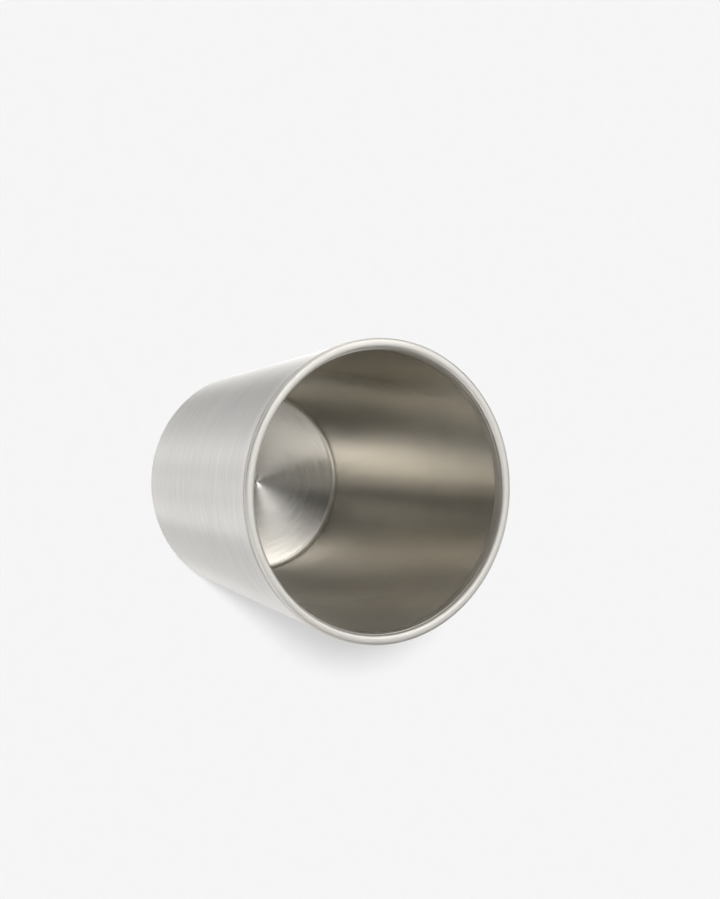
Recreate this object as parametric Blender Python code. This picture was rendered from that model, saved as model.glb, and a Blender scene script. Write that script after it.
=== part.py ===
"""Double-walled stainless steel shot glass, standing upright on its base. Metres, +Z up.

Two drawn steel cups stand one inside the other with an air gap between them. Their edges are
fused at the mouth by a polished bead, and a flat plate welded into the shell closes the bottom.
"""
import math

import bmesh
import bpy

# Overall
HEIGHT = 0.0540               # from the base's underside to the top of the lip
MOUTH_RADIUS = 0.0250         # outermost radius, on the lip
SHEET = 0.00045               # thickness of the drawn sheet
GAP = 0.0003                  # clearance between neighbouring pieces
SEGMENTS = 64                 # steps round the axis
EDGE_Z = 0.0528               # both sheets end here, just under the bead

# Outer shell
SHELL_BASE_RADIUS = 0.02110   # straight wall carried down to the underside
SHELL_EDGE_RADIUS = 0.02477   # straight wall at the shell's edge
SHELL_CORNER = 0.0030         # outside radius where the wall turns into the foot ring
FLARE = 0.00012               # how far the edge opens beyond the straight wall
FLARE_LENGTH = 0.0030

# Inner cup
FLOOR_Z = 0.0040              # upper face of the drinking cup's floor
CUP_FLOOR_RADIUS = 0.01740    # inner wall carried down to the floor
CUP_EDGE_RADIUS = 0.02320     # inner wall at the cup's edge
CUP_FILLET = 0.0009           # inside radius between the floor and the wall

# Bead that fuses the two edges
BEAD_WIDTH = 0.00165
BEAD_TAPER = 0.00012          # the bead's flanks close in this much towards the sheets

# Bottom closure
FOOT_INNER_RADIUS = 0.0158    # hole that the shell's foot ring leaves
SEAM_WIDTH = 0.0006
SEAM_LOW_Z = 0.00008          # the ground seam lies just above the resting plane
SEAM_HIGH_Z = 0.00055
PLATE_THICKNESS = 0.0006
PLATE_CHAMFER = 0.0001


def arc(centre_r, centre_z, radius, start, end, steps):
    """Points (r, z) of an arc, angles in radians from the outward direction."""
    points = []
    for i in range(steps + 1):
        angle = start + (end - start) * i / steps
        points.append((centre_r + radius * math.cos(angle), centre_z + radius * math.sin(angle)))
    return points


def steel(name, colour, roughness):
    """A metallic material of one colour."""
    material = bpy.data.materials.new(name)
    material.use_nodes = True
    shader = material.node_tree.nodes["Principled BSDF"]
    shader.inputs["Base Color"].default_value = (*colour, 1.0)
    shader.inputs["Metallic"].default_value = 1.0
    shader.inputs["Roughness"].default_value = roughness
    material.diffuse_color = (*colour, 1.0)
    return material


def revolve(name, outline, closed, material):
    """Turn an (r, z) outline about the Z axis into one closed body."""
    mesh = bpy.data.meshes.new(name)
    form = bmesh.new()
    verts = [form.verts.new((r, 0.0, z)) for r, z in outline]
    for first, second in zip(verts, verts[1:]):
        form.edges.new((first, second))
    if closed:
        form.edges.new((verts[-1], verts[0]))
    bmesh.ops.spin(
        form,
        geom=form.verts[:] + form.edges[:],
        axis=(0.0, 0.0, 1.0),
        cent=(0.0, 0.0, 0.0),
        angle=2.0 * math.pi,
        steps=SEGMENTS,
        use_merge=True,
    )
    bmesh.ops.remove_doubles(form, verts=form.verts[:], dist=0.000001)
    bmesh.ops.recalc_face_normals(form, faces=form.faces[:])
    form.to_mesh(mesh)
    form.free()
    mesh.shade_smooth()
    mesh.set_sharp_from_angle(angle=math.radians(40.0))
    mesh.materials.append(material)
    body = bpy.data.objects.new(name, mesh)
    bpy.context.scene.collection.objects.link(body)
    return body


def make_outer_shell():
    """Tapered outer wall, slightly flared at its edge and turned in under the foot."""
    slope = (SHELL_EDGE_RADIUS - SHELL_BASE_RADIUS) / EDGE_Z
    lean = math.atan(slope)
    corner_r = SHELL_BASE_RADIUS + slope * SHELL_CORNER - SHELL_CORNER / math.cos(lean)
    flared = []
    for i in range(5):
        z = EDGE_Z - SHEET / 2 - FLARE_LENGTH * (4 - i) / 4
        flared.append((SHELL_BASE_RADIUS + slope * z + FLARE * (i / 4) ** 2, z))
    top_r, top_z = flared[-1]
    outline = [(FOOT_INNER_RADIUS, 0.0)]
    outline += arc(corner_r, SHELL_CORNER, SHELL_CORNER, -math.pi / 2, -lean, 8)
    outline += flared[:-1]
    outline += arc(top_r - SHEET / 2, top_z, SHEET / 2, 0.0, math.pi, 4)
    outline += [(r - SHEET, z) for r, z in reversed(flared[:-1])]
    outline += arc(corner_r, SHELL_CORNER, SHELL_CORNER - SHEET, -lean, -math.pi / 2, 6)
    outline.append((FOOT_INNER_RADIUS, SHEET))
    return revolve("outer_shell", outline, True, steel("shell_steel", (0.62, 0.61, 0.59), 0.32))


def make_inner_cup():
    """Drinking cup: flat turned floor, small fillet and a wall that opens to the mouth."""
    slope = (CUP_EDGE_RADIUS - CUP_FLOOR_RADIUS) / (EDGE_Z - FLOOR_Z)
    lean = math.atan(slope)
    fillet_z = FLOOR_Z + CUP_FILLET
    fillet_r = CUP_FLOOR_RADIUS + slope * CUP_FILLET - CUP_FILLET / math.cos(lean)
    edge_r = CUP_EDGE_RADIUS + SHEET / 2
    edge_z = EDGE_Z - SHEET / 2
    outline = [(0.0, FLOOR_Z)]
    outline += arc(fillet_r, fillet_z, CUP_FILLET, -math.pi / 2, -lean, 6)
    outline += arc(edge_r, edge_z, SHEET / 2, math.pi, 0.0, 4)
    outline += arc(fillet_r, fillet_z, CUP_FILLET + SHEET, -lean, -math.pi / 2, 6)
    outline.append((0.0, FLOOR_Z - SHEET))
    return revolve("inner_cup", outline, False, steel("cup_steel", (0.60, 0.58, 0.55), 0.28))


def make_lip_bead():
    """Polished weld bead with a round crown, which joins the edges of the cup and the shell."""
    half = BEAD_WIDTH / 2
    centre_r = MOUTH_RADIUS - half
    low_z = EDGE_Z + GAP
    outline = arc(centre_r, HEIGHT - half, half, 0.0, math.pi, 10)
    outline.append((centre_r - half + BEAD_TAPER / 2, low_z))
    outline.append((centre_r + half - BEAD_TAPER, low_z))
    return revolve("lip_weld_bead", outline, True, steel("lip_steel", (0.68, 0.67, 0.66), 0.14))


def make_base_seam():
    """Ground weld that joins the base plate to the shell's foot ring."""
    outer = FOOT_INNER_RADIUS - GAP
    inner = outer - SEAM_WIDTH
    outline = [
        (inner, SEAM_LOW_Z),
        (outer, SEAM_LOW_Z),
        (outer, SEAM_HIGH_Z),
        (inner, SEAM_HIGH_Z),
    ]
    return revolve("base_weld_seam", outline, True, steel("seam_steel", (0.52, 0.50, 0.48), 0.30))


def make_base_plate():
    """Flat disc that closes the shell and that the glass rests on."""
    radius = FOOT_INNER_RADIUS - 2.0 * GAP - SEAM_WIDTH
    outline = [
        (0.0, 0.0),
        (radius - PLATE_CHAMFER, 0.0),
        (radius, PLATE_CHAMFER),
        (radius, PLATE_THICKNESS),
        (0.0, PLATE_THICKNESS),
    ]
    return revolve("base_plate", outline, False, steel("plate_steel", (0.60, 0.59, 0.57), 0.34))


for item in list(bpy.data.objects):
    bpy.data.objects.remove(item, do_unlink=True)

make_outer_shell()
make_inner_cup()
make_lip_bead()
make_base_seam()
make_base_plate()
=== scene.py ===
"""Looks of the double-walled steel shot glass. Metres, +Z up, the glass stands on its base.

Every piece is turned about the Z axis from an outline of (r, z) points. The camera is rolled, so the upright
glass seems to lie on its side in the picture, and the studio's lights are placed in the room of that picture.
"""

import math

import bmesh
import bpy
from mathutils import Matrix, Vector


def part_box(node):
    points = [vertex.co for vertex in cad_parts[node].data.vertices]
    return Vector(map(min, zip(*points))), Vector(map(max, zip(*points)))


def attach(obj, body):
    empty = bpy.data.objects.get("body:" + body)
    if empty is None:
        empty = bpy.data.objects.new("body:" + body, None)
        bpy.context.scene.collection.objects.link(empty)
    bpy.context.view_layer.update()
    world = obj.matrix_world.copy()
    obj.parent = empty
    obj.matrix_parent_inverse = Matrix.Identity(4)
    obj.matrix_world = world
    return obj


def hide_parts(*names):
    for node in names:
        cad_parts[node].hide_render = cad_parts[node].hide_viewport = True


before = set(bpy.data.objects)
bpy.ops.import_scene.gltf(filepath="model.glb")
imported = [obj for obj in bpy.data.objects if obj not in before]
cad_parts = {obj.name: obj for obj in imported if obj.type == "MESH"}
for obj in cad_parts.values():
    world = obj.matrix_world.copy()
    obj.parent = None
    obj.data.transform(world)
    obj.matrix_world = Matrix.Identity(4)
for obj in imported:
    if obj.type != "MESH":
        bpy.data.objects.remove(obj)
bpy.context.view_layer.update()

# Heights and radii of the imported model
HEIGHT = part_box("lip_weld_bead")[1][2]
MOUTH_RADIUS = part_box("lip_weld_bead")[1][0]
EDGE_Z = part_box("outer_shell")[1][2]
CUP_LOW_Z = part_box("inner_cup")[0][2]

# All turned pieces
STEPS = 288                     # steps round the axis
SHARP_ANGLE = math.radians(35.0)
HAIR = 0.00001                  # keeps one surface just clear of another
SHEET = 0.00045
TUCK = 0.00035                  # how far the shell and the cup run up inside the lip

# Outer shell
SHELL_BASE_RADIUS = 0.02110     # straight outer wall carried down to the underside
SHELL_EDGE_RADIUS = 0.02477     # straight outer wall at the shell's edge
SHELL_CORNER = 0.0030
FLARE = 0.00018
FLARE_LENGTH = 0.0030
FLARE_STEPS = 12
FOOT_RADIUS = 0.01580           # where the seam joins the shell's foot to the base plate
FOOT_EDGE_RADIUS = FOOT_RADIUS - 0.00025

# Drinking cup
FLOOR_Z = CUP_LOW_Z + SHEET
CUP_FLOOR_RADIUS = 0.01740
CUP_EDGE_RADIUS = 0.02320
CUP_FILLET = 0.0009
CENTRE_PIP_RADIUS = 0.0003      # the mark that the lathe's centre leaves in the floor
CENTRE_PIP_DEPTH = 0.00008
SHOULDER_Z = EDGE_Z - 0.0009    # the buffed end of the drinking wall starts here
FACE_MARGIN = 0.0001            # tells the drinking side's faces from the hidden side's
FLOOR_SLOT, SHOULDER_SLOT, FILLET_SLOT = 1, 2, 3

# Lip
BEAD_WIDTH = 0.00165
CROWN = 0.78                    # power of the lip's section: 1 is round, less is flatter on top
CROWN_DEPTH = 0.00055
CROWN_STEPS = 40
SKIRT_LOW_Z = EDGE_Z - 0.0006   # the lip runs down over the end of the drinking wall to here
SKIRT_THICKNESS = 0.0002
SKIRT_STEPS = 8
BEAD_LOW_Z = EDGE_Z + 0.0003
CREASE = 0.00025                # depth of the fine crease between the lip and the shell

# Seam and base plate
SEAM_OUTER_RADIUS = FOOT_RADIUS - 0.0002
SEAM_INNER_RADIUS = FOOT_RADIUS - 0.0010
SEAM_LOW_Z = 0.00010
SEAM_HIGH_Z = 0.00055
PLATE_RADIUS = FOOT_RADIUS - 0.0009
PLATE_THICKNESS = 0.0006
PLATE_BEVEL = 0.0001

# Brushed steel: how far the streaks reach to each side of the mean
ROUGHNESS_SPREAD = 0.022
DARK_STREAK = (0.27, 0.25, 0.22)
LIGHT_STREAK = (0.25, 0.20, 0.14)
AXIS_RADIUS = 0.0004            # the grain's directions round the axis fade out inside this radius

# Camera: it looks down into the mouth, rolled so that the glass seems to lie on its side
AZIMUTH = math.radians(135.0)
CAMERA_OUT = 0.10382
CAMERA_HEIGHT = 0.22829
AIM_OUT = 0.00044
AIM_ASIDE = 0.00674
AIM_HEIGHT = 0.04507
ROLL = math.radians(91.2)
LENS = 50.0
CLIP_START = 0.01
CLIP_END = 50.0

# White studio lights as the glass sees them: name, azimuth from the camera's side (positive to its right) and
# elevation of the centre, half width and half height, all in degrees, then power
LIGHTS = [
    ("table_front", -15, -37, 30, 23, 1.6),
    ("table_edge", 0, -10.5, 45, 3.5, 2.3),
    ("low_strip", 180, -16, 135, 9, 1.1),
    ("left_low", -150, -42.5, 45, 17.5, 1.05),
    ("horizon_back", -165, -2, 90, 5, 1.2),
    ("front_gap", 7, 3, 22, 7, 0.5),
    ("back_wall", 165, 32.5, 30, 29.5, 1.7),
    ("back_left", -135, 8.5, 30, 5.5, 1.4),
    ("back_left_high", -150, 38, 15, 24, 0.6),
    ("left_fill", -75, 12.5, 30, 9.5, 0.6),
    ("left_fill_high", -75, 42, 30, 20, 1.2),
    ("back_left_mid", -118, 28, 18, 13, 0.4),
    ("key", 60, 29, 15, 15, 2.9),
    ("key_halo", 60, 22, 15, 19, 1.7),
    ("key_left", 40, 26, 9, 14, 3.2),
    ("under", 0, -77.5, 200, 17.5, 1.05),
    ("overhead", 0, 78.5, 200, 16.5, 1.2),
]
SIDE_EDGE = 12.0                # soft edge of every light to its left and right, in degrees
EDGE = 3.0                      # soft edge of every light at its top and bottom, in degrees
STUDIO_DIP = math.radians(6.6)  # how far the camera looks down on the table of the picture

# Backdrop, floor and the floor's own two lamps
BACKDROP = 0.92                 # brightness of the backdrop and of the lit floor
FLOOR_WHITE = 0.8
FLOOR_MOTTLE = 0.004
FLOOR_HALF_SIZE = 3.0
KEY_SHARE = 0.33                # part of the floor's light that the glass shades
KEY_DOWN = math.radians(12.0)   # how far the shadow falls below the glass, and then to its left
KEY_LEFT = math.radians(4.0)
KEY_ANGLE = math.radians(8.0)


def arc(centre_r, centre_z, radius, start, end, steps):
    """Points (r, z) of an arc, angles in radians from the outward direction."""
    points = []
    for i in range(steps + 1):
        angle = start + (end - start) * i / steps
        points.append((centre_r + radius * math.cos(angle), centre_z + radius * math.sin(angle)))
    return points


def line(start, end, steps):
    """Points between two (r, z) points, without the two themselves."""
    points = []
    for i in range(1, steps):
        t = i / steps
        points.append((start[0] + (end[0] - start[0]) * t, start[1] + (end[1] - start[1]) * t))
    return points


def revolve(name, outline, closed, material):
    """Turn an (r, z) outline about the Z axis into one closed body."""
    mesh = bpy.data.meshes.new(name)
    form = bmesh.new()
    rings = []
    for r, z in outline:
        if r == 0.0:
            rings.append([form.verts.new((0.0, 0.0, z))])
            continue
        ring = []
        for i in range(STEPS):
            angle = 2.0 * math.pi * i / STEPS
            ring.append(form.verts.new((r * math.cos(angle), r * math.sin(angle), z)))
        rings.append(ring)
    pairs = list(zip(rings, rings[1:]))
    if closed:
        pairs.append((rings[-1], rings[0]))
    for low, high in pairs:
        for i in range(STEPS):
            j = (i + 1) % STEPS
            if len(low) == 1:
                form.faces.new((low[0], high[i], high[j]))
            elif len(high) == 1:
                form.faces.new((low[i], high[0], low[j]))
            else:
                form.faces.new((low[i], high[i], high[j], low[j]))
    bmesh.ops.recalc_face_normals(form, faces=form.faces[:])
    form.to_mesh(mesh)
    form.free()
    mesh.shade_smooth()
    mesh.set_sharp_from_angle(angle=SHARP_ANGLE)
    mesh.materials.append(material)
    body = bpy.data.objects.new(name, mesh)
    bpy.context.scene.collection.objects.link(body)
    return body


class Graph:
    """Short calls for building one node tree."""

    def __init__(self, tree):
        self.tree = tree

    def node(self, kind, **settings):
        made = self.tree.nodes.new(kind)
        for key, value in settings.items():
            setattr(made, key, value)
        return made

    def link(self, source, target):
        self.tree.links.new(source, target)

    def math(self, operation, a, b=None, c=None):
        """One Math node on numbers or sockets."""
        made = self.node("ShaderNodeMath", operation=operation)
        for slot, value in zip(made.inputs, (a, b, c)):
            if value is None:
                continue
            if isinstance(value, (int, float)):
                slot.default_value = value
            else:
                self.link(value, slot)
        return made.outputs[0]

    def remap(self, value, low, high, to_low, to_high, smooth=False):
        """Low to high becomes to_low to to_high, and nothing goes beyond them."""
        made = self.node("ShaderNodeMapRange", clamp=True)
        made.interpolation_type = "SMOOTHSTEP" if smooth else "LINEAR"
        self.link(value, made.inputs[0])
        for slot, number in zip(made.inputs[1:5], (low, high, to_low, to_high)):
            slot.default_value = number
        return made.outputs[0]

    def noise(self, vector, scale, detail, roughness):
        made = self.node("ShaderNodeTexNoise")
        made.inputs["Scale"].default_value = scale
        made.inputs["Detail"].default_value = detail
        made.inputs["Roughness"].default_value = roughness
        self.link(vector, made.inputs["Vector"])
        return made.outputs[0]

    def ramp(self, value, low, low_colour, high, high_colour):
        """One colour up to low, another from high on, blended between them."""
        made = self.node("ShaderNodeValToRGB")
        stops = made.color_ramp.elements
        for stop, place, colour in zip(stops, (low, high), (low_colour, high_colour)):
            stop.position = place
            stop.color = (*colour, 1.0)
        self.link(value, made.inputs[0])
        return made.outputs[0]

    def place(self):
        """The place on the object, in metres."""
        return self.node("ShaderNodeTexCoord").outputs["Object"]

    def grain_vector(self, along, across, radial):
        """Stretched coordinates: slow round the axis, fast along it, or fast along the radius."""
        split = self.node("ShaderNodeSeparateXYZ")
        self.link(self.place(), split.inputs[0])
        x, y, z = split.outputs
        r = self.math("SQRT", self.math("ADD", self.math("MULTIPLY", x, x), self.math("MULTIPLY", y, y)))
        safe = self.math("MAXIMUM", r, AXIS_RADIUS)
        join = self.node("ShaderNodeCombineXYZ")
        self.link(self.math("MULTIPLY", self.math("DIVIDE", x, safe), along), join.inputs[0])
        self.link(self.math("MULTIPLY", self.math("DIVIDE", y, safe), along), join.inputs[1])
        self.link(self.math("MULTIPLY", r if radial else z, across), join.inputs[2])
        return join.outputs[0]


class Steel(Graph):
    """A new metal material and its nodes."""

    def __init__(self, name):
        self.material = bpy.data.materials.new(name)
        self.material.use_nodes = True
        super().__init__(self.material.node_tree)
        self.shader = self.tree.nodes["Principled BSDF"]
        self.shader.inputs["Metallic"].default_value = 1.0

    def bump(self, height, strength, distance):
        made = self.node("ShaderNodeBump")
        made.inputs["Strength"].default_value = strength
        made.inputs["Distance"].default_value = distance
        self.link(height, made.inputs["Height"])
        self.link(made.outputs[0], self.shader.inputs["Normal"])


def brushed(name, colour, roughness, anisotropy, radial=False, grain=1.0, wave=1.0, pitch=0.00065,
            streaks=0.8):
    """Steel brushed or turned in fine rings round the axis; what isn't streaks is soft mottling."""
    g = Steel(name)
    coarse = g.noise(g.grain_vector(2.5, 1.0 / pitch, radial), scale=1.0, detail=1.0, roughness=0.5)
    fine = g.noise(g.grain_vector(4.0, 2.5 / pitch, radial), scale=1.0, detail=1.0, roughness=0.5)
    broad = g.noise(g.place(), scale=90.0, detail=2.0, roughness=0.5)
    lines = g.math("MULTIPLY", g.math("ADD", coarse, fine), streaks / 2)
    lines = g.math("ADD", lines, g.math("MULTIPLY", broad, 1.0 - streaks))
    spread = ROUGHNESS_SPREAD * grain
    g.link(g.remap(lines, 0.3, 0.7, roughness - spread, roughness + spread), g.shader.inputs["Roughness"])
    dark = tuple(c * (1.0 - k * grain) for c, k in zip(colour, DARK_STREAK))
    light = tuple(c * (1.0 + k * grain) for c, k in zip(colour, LIGHT_STREAK))
    g.link(g.ramp(lines, 0.1, dark, 0.9, light), g.shader.inputs["Base Color"])
    g.bump(broad, strength=0.25 * wave, distance=0.0001)
    tangent = g.node("ShaderNodeTangent", direction_type="RADIAL", axis="Z")
    g.link(tangent.outputs[0], g.shader.inputs["Tangent"])
    g.shader.inputs["Anisotropic"].default_value = anisotropy
    g.shader.inputs["Anisotropic Rotation"].default_value = 0.25
    return g.material


def polished(name, colour, roughness):
    """Polished steel with faint wiping marks round the axis and a soft cloud."""
    g = Steel(name)
    marks = g.noise(g.grain_vector(3.0, 6000.0, radial=False), scale=1.0, detail=3.0, roughness=0.6)
    cloud = g.noise(g.place(), scale=260.0, detail=3.0, roughness=0.6)
    mixed = g.math("ADD", g.math("MULTIPLY", marks, 0.5), g.math("MULTIPLY", cloud, 0.5))
    g.link(g.remap(mixed, 0.35, 0.65, roughness - 0.03, roughness + 0.05), g.shader.inputs["Roughness"])
    dark = tuple(c * 0.95 for c in colour)
    g.link(g.ramp(mixed, 0.38, dark, 0.62, colour), g.shader.inputs["Base Color"])
    g.bump(mixed, strength=0.12, distance=0.00002)
    return g.material


def put(piece, node):
    """Let a piece stand for a CAD node."""
    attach(piece, "root")
    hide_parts(node)


def make_shell():
    """The outer wall, with its flared edge, its rounded corner and the foot that turns in."""
    slope = (SHELL_EDGE_RADIUS - SHELL_BASE_RADIUS) / EDGE_Z
    lean = math.atan(slope)
    corner_r = SHELL_BASE_RADIUS + slope * SHELL_CORNER - SHELL_CORNER / math.cos(lean)
    flared = []
    for i in range(FLARE_STEPS + 1):
        z = EDGE_Z - FLARE_LENGTH * (FLARE_STEPS - i) / FLARE_STEPS
        flared.append((SHELL_BASE_RADIUS + slope * z + FLARE * (i / FLARE_STEPS) ** 2, z))
    edge_r = flared[-1][0]
    corner = arc(corner_r, SHELL_CORNER, SHELL_CORNER, -math.pi / 2, -lean, steps=20)
    inner_corner = arc(corner_r, SHELL_CORNER, SHELL_CORNER - SHEET, -lean, -math.pi / 2, steps=12)
    outline = [(FOOT_EDGE_RADIUS, 0.0)] + corner
    outline += line(corner[-1], flared[0], steps=6) + flared
    outline += [(edge_r - HAIR, EDGE_Z + TUCK), (edge_r - SHEET, EDGE_Z + TUCK)]
    outline += [(r - SHEET, z) for r, z in reversed(flared)]
    outline += inner_corner + [(FOOT_EDGE_RADIUS, SHEET)]
    return revolve("brushed_shell", outline, True,
                   brushed("shell_brushed_steel", (0.66, 0.655, 0.64), 0.30, 0.96))


def cup_radius(z):
    """Radius of the drinking side of the wall at a height."""
    return CUP_FLOOR_RADIUS + (CUP_EDGE_RADIUS - CUP_FLOOR_RADIUS) * (z - FLOOR_Z) / (EDGE_Z - FLOOR_Z)


def make_cup():
    """The drinking cup: turned floor, a rougher fillet painted darker as shade in the corner by the floor,
    brushed wall and the buffed shoulder at its end.
    """
    slope = (CUP_EDGE_RADIUS - CUP_FLOOR_RADIUS) / (EDGE_Z - FLOOR_Z)
    lean = math.atan(slope)
    fillet_z = FLOOR_Z + CUP_FILLET
    fillet_r = cup_radius(fillet_z) - CUP_FILLET / math.cos(lean)
    inner = arc(fillet_r, fillet_z, CUP_FILLET, -math.pi / 2, -lean, steps=16)
    outer = arc(fillet_r, fillet_z, CUP_FILLET + SHEET, -lean, -math.pi / 2, steps=12)
    top_z = EDGE_Z + TUCK
    top = (cup_radius(top_z), top_z)
    pip = (CENTRE_PIP_RADIUS, FLOOR_Z)
    shoulder = (cup_radius(SHOULDER_Z), SHOULDER_Z)
    outline = [(0.0, FLOOR_Z - CENTRE_PIP_DEPTH)]
    outline += [(0.4 * CENTRE_PIP_RADIUS, FLOOR_Z - 0.8 * CENTRE_PIP_DEPTH), pip]
    outline += line(pip, inner[0], steps=12) + inner
    outline += line(inner[-1], shoulder, steps=14) + [shoulder]
    outline += line(shoulder, top, steps=4) + [top]
    outline += [(top[0] + SHEET, top_z)] + outer + [(0.0, FLOOR_Z - SHEET)]
    wall_steel = brushed("cup_brushed_steel", (0.69, 0.668, 0.615), 0.255, 0.97, grain=0.5, wave=0.3,
                         pitch=0.0011, streaks=0.5)
    floor_steel = brushed("cup_turned_floor", (0.66, 0.645, 0.615), 0.255, 0.97, radial=True, grain=0.6,
                          wave=0.3)
    body = revolve("drinking_cup", outline, False, wall_steel)
    body.data.materials.append(floor_steel)
    body.data.materials.append(polished("cup_polished_shoulder", (0.68, 0.66, 0.62), 0.36))
    # The fillet's darker colour is painted shade in the corner between floor and wall; only its higher
    # roughness is a real duller finish.
    body.data.materials.append(brushed("cup_fillet_dull_and_painted_shade", (0.52, 0.505, 0.465), 0.34, 0.7, wave=0.3))
    for face in body.data.polygons:
        r, z = math.hypot(face.center.x, face.center.y), face.center.z
        if z > SHOULDER_Z:
            face.material_index = SHOULDER_SLOT
        if FLOOR_Z < z < inner[-1][1] and r < cup_radius(z) + FACE_MARGIN:
            face.material_index = FILLET_SLOT
        if abs(z - FLOOR_Z) < FACE_MARGIN and r < inner[0][0]:
            face.material_index = FLOOR_SLOT
    return body


def make_bead():
    """The lip: a crown that is a little flatter than a half circle, and an inner skirt down to the wall."""
    half = BEAD_WIDTH / 2
    centre_r = MOUTH_RADIUS - half
    crown_z = HEIGHT - CROWN_DEPTH
    throat = cup_radius(SKIRT_LOW_Z) - 2.0 * HAIR
    outline = []
    for i in range(CROWN_STEPS + 1):
        angle = math.pi * i / CROWN_STEPS
        across, up = math.cos(angle), max(math.sin(angle), 0.0)
        outline.append((centre_r + math.copysign(abs(across) ** CROWN, across) * half,
                        HEIGHT - CROWN_DEPTH * (1.0 - up ** CROWN)))
    for i in range(1, SKIRT_STEPS + 1):
        t = i / SKIRT_STEPS
        ease = t * t * (3.0 - 2.0 * t)
        outline.append((centre_r - half + (throat - centre_r + half) * ease,
                        crown_z + (SKIRT_LOW_Z - crown_z) * t))
    outline.append((throat + SKIRT_THICKNESS, SKIRT_LOW_Z))
    outline.append((throat + 2.0 * SKIRT_THICKNESS, BEAD_LOW_Z))
    outline.append((MOUTH_RADIUS - CREASE, BEAD_LOW_Z))
    return revolve("polished_bead", outline, True,
                   polished("lip_polished_steel", (0.70, 0.68, 0.64), 0.54))


def make_seam():
    """The ground weld between the shell's foot and the base plate."""
    outline = [(SEAM_INNER_RADIUS, SEAM_LOW_Z), (SEAM_OUTER_RADIUS, SEAM_LOW_Z),
               (SEAM_OUTER_RADIUS, SEAM_HIGH_Z), (SEAM_INNER_RADIUS, SEAM_HIGH_Z)]
    return revolve("ground_seam", outline, True,
                   polished("seam_ground_steel", (0.50, 0.48, 0.46), 0.32))


def make_plate():
    """The flat disc under the glass, turned in fine rings."""
    centre = (0.0, 0.0)
    flat_edge = (PLATE_RADIUS - PLATE_BEVEL, 0.0)
    outline = [centre] + line(centre, flat_edge, steps=10) + [flat_edge]
    outline += [(PLATE_RADIUS, PLATE_BEVEL), (PLATE_RADIUS, PLATE_THICKNESS), (0.0, PLATE_THICKNESS)]
    return revolve("turned_plate", outline, False,
                   brushed("plate_turned_steel", (0.60, 0.59, 0.57), 0.34, 0.8, radial=True))


def make_camera():
    towards = Vector((math.sin(AZIMUTH), -math.cos(AZIMUTH), 0.0))
    side = Vector((0.0, 0.0, 1.0)).cross(towards)
    place = towards * CAMERA_OUT + Vector((0.0, 0.0, CAMERA_HEIGHT))
    aim = towards * AIM_OUT - side * AIM_ASIDE + Vector((0.0, 0.0, AIM_HEIGHT))
    data = bpy.data.cameras.new("camera")
    data.lens = LENS
    data.clip_start = CLIP_START
    data.clip_end = CLIP_END
    camera = bpy.data.objects.new("camera", data)
    turn = (aim - place).to_track_quat("-Z", "Y").to_matrix().to_4x4()
    camera.matrix_world = Matrix.Translation(place) @ turn @ Matrix.Rotation(ROLL, 4, "Z")
    bpy.context.scene.collection.objects.link(camera)
    bpy.context.scene.camera = camera
    return camera


def make_floor():
    """The plain pale floor, which the steel doesn't reflect."""
    mesh = bpy.data.meshes.new("floor")
    form = bmesh.new()
    bmesh.ops.create_grid(form, x_segments=1, y_segments=1, size=FLOOR_HALF_SIZE)
    form.to_mesh(mesh)
    form.free()
    floor = bpy.data.objects.new("floor", mesh)
    floor.location.z = -2.0 * HAIR
    bpy.context.scene.collection.objects.link(floor)
    material = bpy.data.materials.new("floor_white")
    material.use_nodes = True
    g = Graph(material.node_tree)
    shader = g.tree.nodes["Principled BSDF"]
    cloud = g.noise(g.place(), scale=300.0, detail=3.0, roughness=0.6)
    dark = (FLOOR_WHITE - FLOOR_MOTTLE,) * 3
    light = (FLOOR_WHITE + FLOOR_MOTTLE,) * 3
    g.link(g.ramp(cloud, 0.3, dark, 0.7, light), shader.inputs["Base Color"])
    shader.inputs["Roughness"].default_value = 1.0
    shader.inputs["Specular IOR Level"].default_value = 0.0
    mesh.materials.append(material)
    floor.visible_glossy = False


def studio_frame(camera):
    """Right, up and front of the photographer's room, in which the glass seems to lie on a table."""
    turn = camera.matrix_world.to_3x3()
    right, up, back = turn.col[0].copy(), turn.col[1].copy(), turn.col[2].copy()
    cosine, sine = math.cos(STUDIO_DIP), math.sin(STUDIO_DIP)
    return right, up * cosine + back * sine, back * cosine - up * sine


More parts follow.
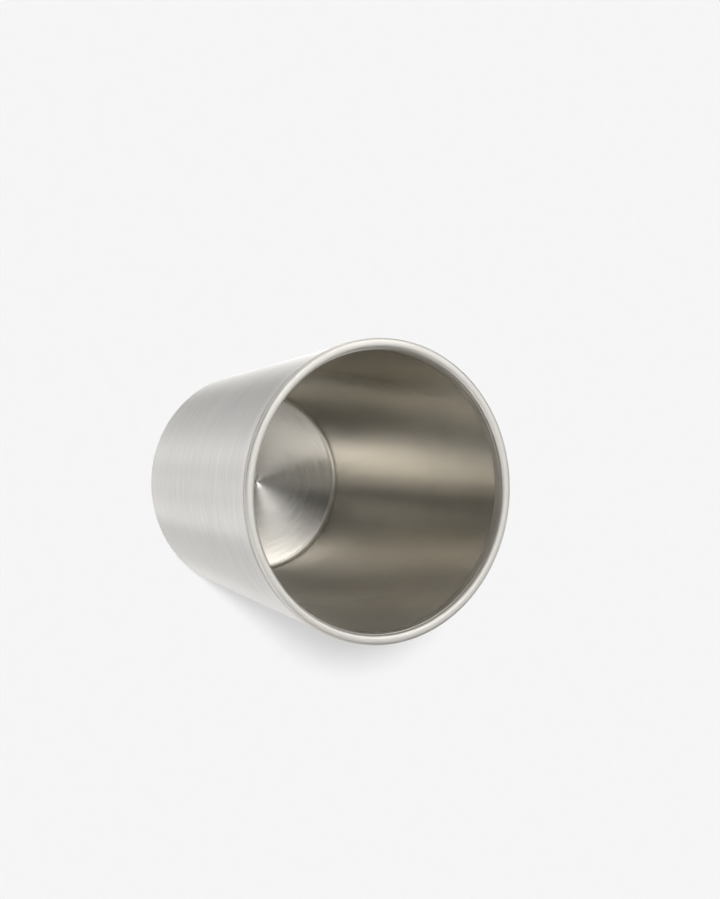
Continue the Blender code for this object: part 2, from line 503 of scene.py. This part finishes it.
def make_world(camera):
    """The studio's lights for the steel, and one flat backdrop for the camera."""
    world = bpy.data.worlds.new("studio")
    world.use_nodes = True
    bpy.context.scene.world = world
    g = Graph(world.node_tree)
    way = g.node("ShaderNodeTexCoord").outputs["Generated"]
    along = []
    for axis in studio_frame(camera):
        product = g.node("ShaderNodeVectorMath", operation="DOT_PRODUCT")
        g.link(way, product.inputs[0])
        product.inputs[1].default_value = axis
        along.append(product.outputs["Value"])
    right, up, front = along
    azimuth = g.math("DEGREES", g.math("ARCTAN2", right, front))
    elevation = g.math("DEGREES", g.math("ARCSINE", up))
    total = 0.0
    for name, light_azimuth, light_elevation, half_width, half_height, power in LIGHTS:
        aside = g.math("WRAP", g.math("SUBTRACT", azimuth, light_azimuth), 180.0, -180.0)
        above = g.math("SUBTRACT", elevation, light_elevation)
        wide = g.remap(g.math("ABSOLUTE", aside), half_width + SIDE_EDGE, half_width - SIDE_EDGE, 0.0, 1.0,
                       smooth=True)
        high = g.remap(g.math("ABSOLUTE", above), half_height + EDGE, half_height - EDGE, 0.0, 1.0,
                       smooth=True)
        total = g.math("MULTIPLY_ADD", g.math("MULTIPLY", wide, high), power, total)
        total.node.label = name
    seen_in_steel = g.tree.nodes["Background"]
    seen_in_steel.inputs["Color"].default_value = (1.0, 1.0, 1.0, 1.0)
    g.link(total, seen_in_steel.inputs["Strength"])
    backdrop = g.node("ShaderNodeBackground")
    backdrop.inputs["Color"].default_value = (BACKDROP, BACKDROP, BACKDROP, 1.0)
    path = g.node("ShaderNodeLightPath")
    pick = g.node("ShaderNodeMixShader")
    g.link(path.outputs["Is Camera Ray"], pick.inputs[0])
    g.link(seen_in_steel.outputs[0], pick.inputs[1])
    g.link(backdrop.outputs[0], pick.inputs[2])
    g.link(pick.outputs[0], g.tree.nodes["World Output"].inputs[0])
    world.cycles_visibility.diffuse = False


def make_lamps(camera):
    """The floor's own light: it throws one soft faint shadow and isn't seen in the steel."""
    turn = camera.matrix_world.to_3x3()
    down = Matrix.Rotation(-KEY_DOWN, 3, turn.col[0])
    left = Matrix.Rotation(KEY_LEFT, 3, turn.col[1])
    lean = down @ left @ turn
    full = BACKDROP * math.pi / (FLOOR_WHITE * lean.col[2].z)
    for name, share, shadow in (("floor_fill", 1.0 - KEY_SHARE, False), ("floor_key", KEY_SHARE, True)):
        data = bpy.data.lights.new(name, "SUN")
        data.energy = full * share
        data.angle = KEY_ANGLE
        data.use_shadow = shadow
        lamp = bpy.data.objects.new(name, data)
        lamp.matrix_world = lean.to_4x4()
        lamp.visible_glossy = False
        bpy.context.scene.collection.objects.link(lamp)


put(make_shell(), "outer_shell")
put(make_cup(), "inner_cup")
put(make_bead(), "lip_weld_bead")
put(make_seam(), "base_weld_seam")
put(make_plate(), "base_plate")

camera = make_camera()
make_floor()
make_world(camera)
make_lamps(camera)
scene = bpy.context.scene
scene.view_settings.view_transform = "Standard"
scene.cycles.max_bounces = 12
scene.cycles.glossy_bounces = 8
scene.cycles.diffuse_bounces = 0   # light off the steel doesn't brighten the floor
